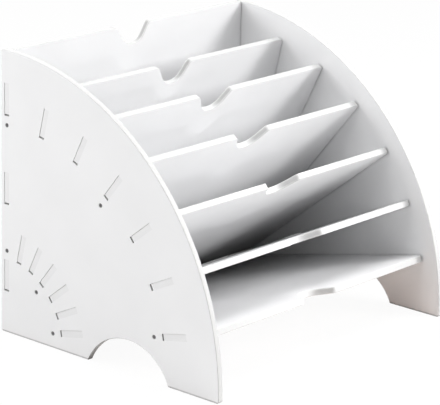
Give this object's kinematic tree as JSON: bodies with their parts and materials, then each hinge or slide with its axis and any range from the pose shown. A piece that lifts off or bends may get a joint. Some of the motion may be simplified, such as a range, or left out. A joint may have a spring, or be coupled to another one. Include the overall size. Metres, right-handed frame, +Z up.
{
  "type": "desktop file sorter",
  "caption": "Fan-shaped open desktop sorter: two quarter-disc sides with foot arches carry a tilted shelf, slanted dividers and a back panel on tenons.",
  "frame": {"origin": "on the floor, at the middle of the width and of the depth", "axes": "+X along the width to the right as seen from the front, +Y to the rear (the back panel), +Z up"},
  "size_m": [0.328, 0.27, 0.27],
  "materials": {
    "board": "satin white foamed PVC board with cut edges",
    "screw": "black oxide steel"
  },
  "bodies": {
    "root": {"back_panel": "board", "bottom_shelf": "board", "divider_1": "board", "divider_2": "board", "divider_3": "board", "divider_4": "board", "divider_5": "board", "screw_back_panel_left_inner": "screw", "screw_back_panel_left_outer": "screw", "screw_back_panel_right_inner": "screw", "screw_back_panel_right_outer": "screw", "screw_bottom_shelf_left_inner": "screw", "screw_bottom_shelf_left_outer": "screw", "screw_bottom_shelf_right_inner": "screw", "screw_bottom_shelf_right_outer": "screw", "screw_divider_3_left_inner": "screw", "screw_divider_3_left_outer": "screw", "screw_divider_3_right_inner": "screw", "screw_divider_3_right_outer": "screw", "side_left": "board", "side_right": "board"}
  },
  "joints": []
}
